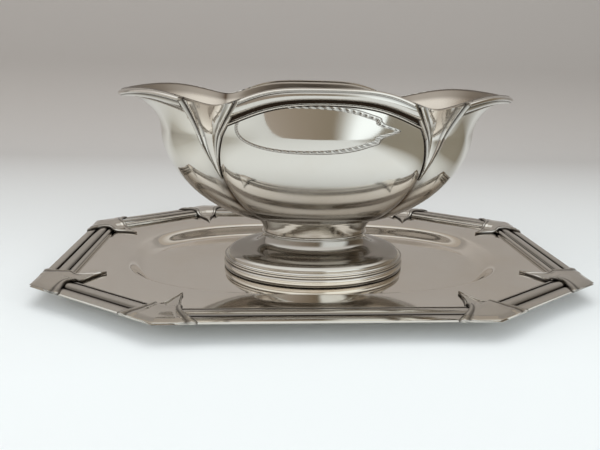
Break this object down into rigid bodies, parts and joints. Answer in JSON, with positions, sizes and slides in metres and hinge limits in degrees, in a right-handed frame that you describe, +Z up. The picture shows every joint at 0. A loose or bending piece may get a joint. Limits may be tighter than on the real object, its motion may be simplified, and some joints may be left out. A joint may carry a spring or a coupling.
{
  "type": "gravy boat",
  "caption": "Double-lipped oval gravy boat on a pedestal foot, standing on a long octagonal tray with a sunk oval well, in polished silver plate",
  "frame": {"origin": "On the table under the middle of the tray, at z = 0, the flat underside of the tray's well", "axes": "+X along the tray from lip to lip, +Y towards the back, +Z up"},
  "size_m": [0.2656, 0.1596, 0.0975],
  "materials": {
    "bright_silver": "polished silver plate, lightly worn, faint hairline scratches",
    "trim_silver": "polished silver plate with darkened recesses",
    "tray_silver": "polished silver plate, use-worn, slightly dulled"
  },
  "bodies": {
    "tray": {"tray_plate": "tray_silver", "border_right": "trim_silver", "border_back_right": "trim_silver", "border_back": "trim_silver", "border_back_left": "trim_silver", "border_left": "trim_silver", "border_front_left": "trim_silver", "border_front": "trim_silver", "border_front_right": "trim_silver", "tray_tie_right_front": "trim_silver", "tray_tie_right_back": "trim_silver", "tray_tie_back_right": "trim_silver", "tray_tie_back_left": "trim_silver", "tray_tie_left_back": "trim_silver", "tray_tie_left_front": "trim_silver", "tray_tie_front_left": "trim_silver", "tray_tie_front_right": "trim_silver"},
    "boat": {"foot_ring": "bright_silver", "foot_flare": "bright_silver", "waist_wire": "trim_silver", "stem": "bright_silver", "bowl": "bright_silver", "panel_band_back": "trim_silver", "panel_band_front": "trim_silver", "lip_band_right": "trim_silver", "lip_band_left": "trim_silver", "bowl_tie_back_right": "trim_silver", "bowl_tie_back_left": "trim_silver", "bowl_tie_front_left": "trim_silver", "bowl_tie_front_right": "trim_silver"}
  },
  "joints": [
    {"name": "boat_lift", "type": "slide", "parent": "tray", "child": "boat", "axis": [0, 0, 1], "range_m": [0, 0.12]}
  ]
}
